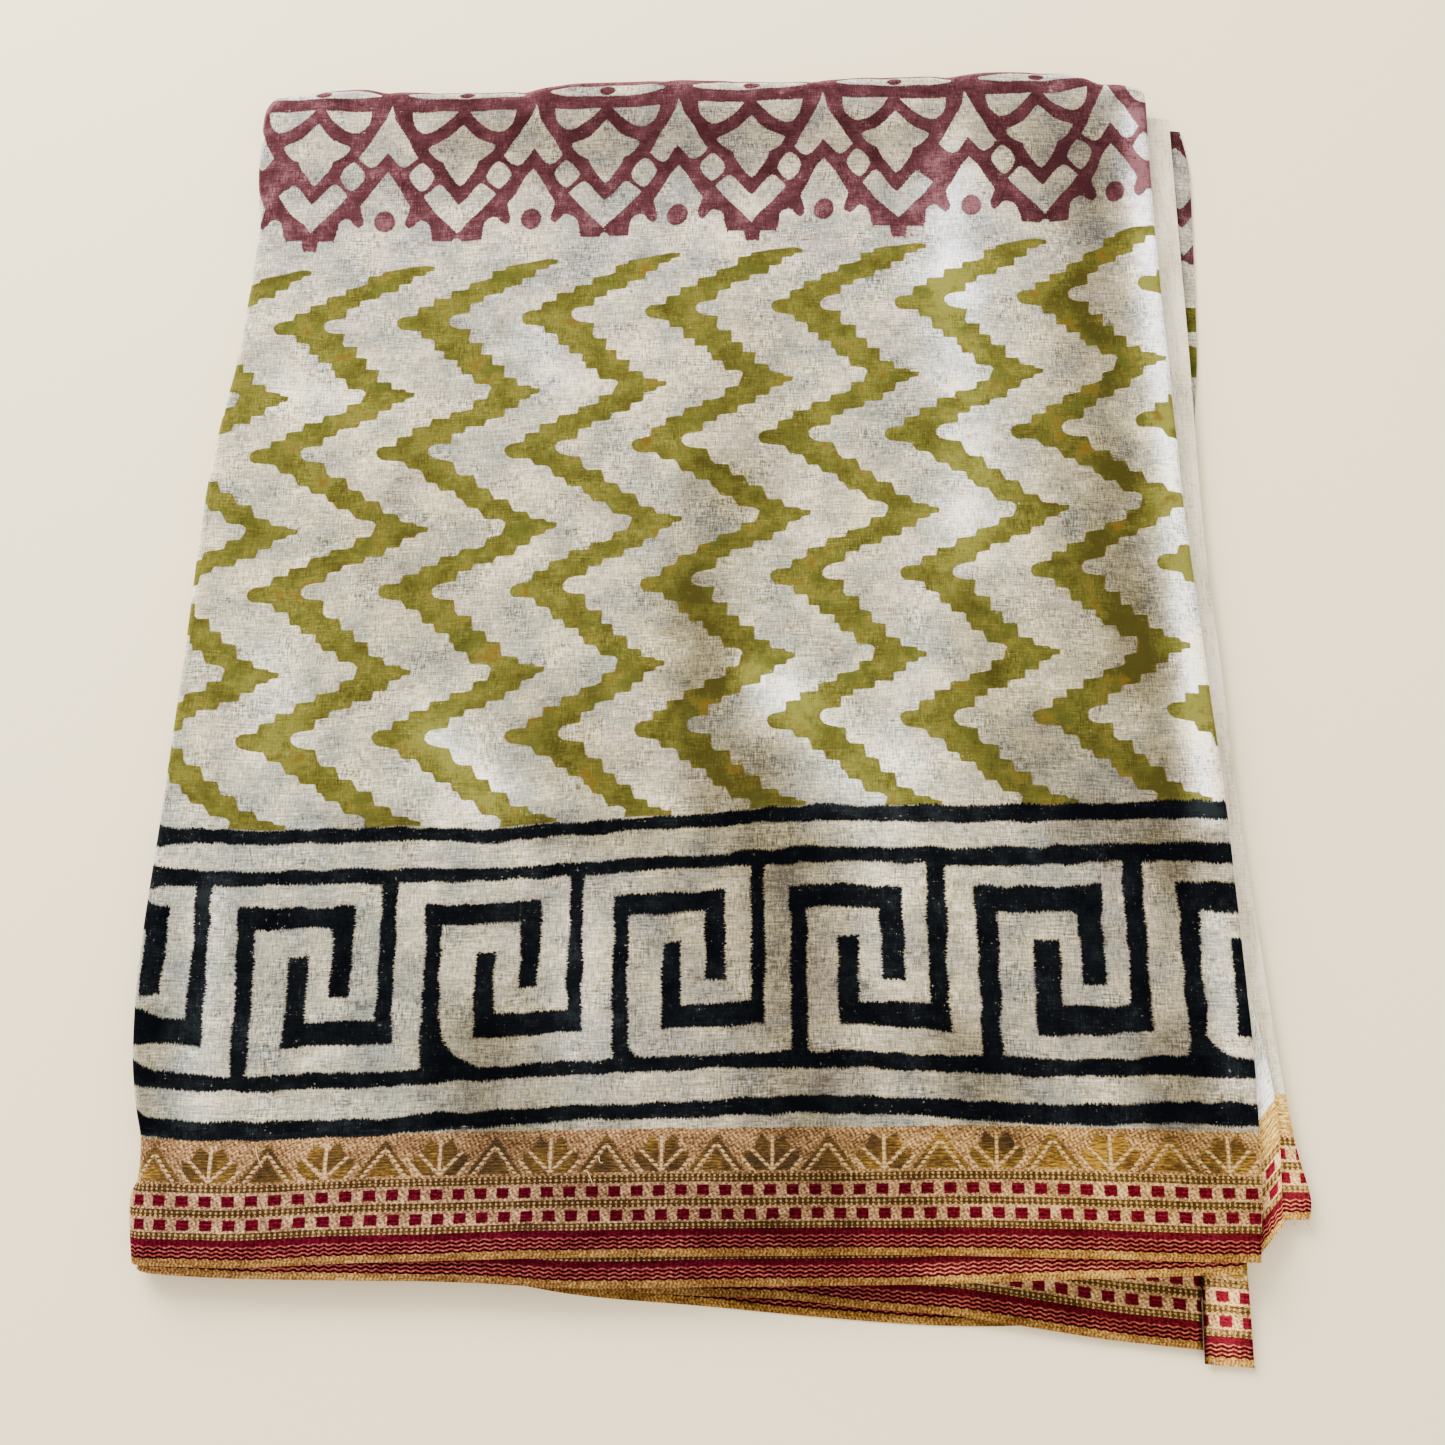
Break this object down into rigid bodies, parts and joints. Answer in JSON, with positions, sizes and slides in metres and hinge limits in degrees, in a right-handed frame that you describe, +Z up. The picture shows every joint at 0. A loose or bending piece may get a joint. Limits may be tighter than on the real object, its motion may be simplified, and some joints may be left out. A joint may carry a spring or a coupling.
{
  "type": "folded sarong",
  "caption": "Light cotton sarong with a printed field and woven metallic borders, folded into a flat rectangular stack that rests on a surface.",
  "frame": {"origin": "middle of the folded stack's footprint, on the surface that it lies on", "axes": "+Z up, +Y towards the soft far fold, -Y towards the edge where the woven borders lie, +X towards the side where the cut end shows"},
  "size_m": [0.508, 0.6349, 0.0215],
  "materials": {
    "printed_cotton": "sheer plain-weave cotton with hand block print in olive, blue-black and maroon",
    "woven_border": "supplementary-weft border in dull gold thread with maroon squares and stripes",
    "plain_cotton": "unprinted cream cotton at the cut end",
    "inner_layers": "folded cotton layers seen at their edges"
  },
  "bodies": {
    "root": {"top_panel": "printed_cotton", "top_border": "woven_border", "second_border": "woven_border", "second_fold": "printed_cotton", "third_border": "woven_border", "tail_strip": "woven_border", "end_strip": "plain_cotton", "end_border": "woven_border", "lower_layer": "printed_cotton", "under_panel": "printed_cotton", "under_border": "woven_border", "hidden_layers": "inner_layers"}
  },
  "joints": []
}
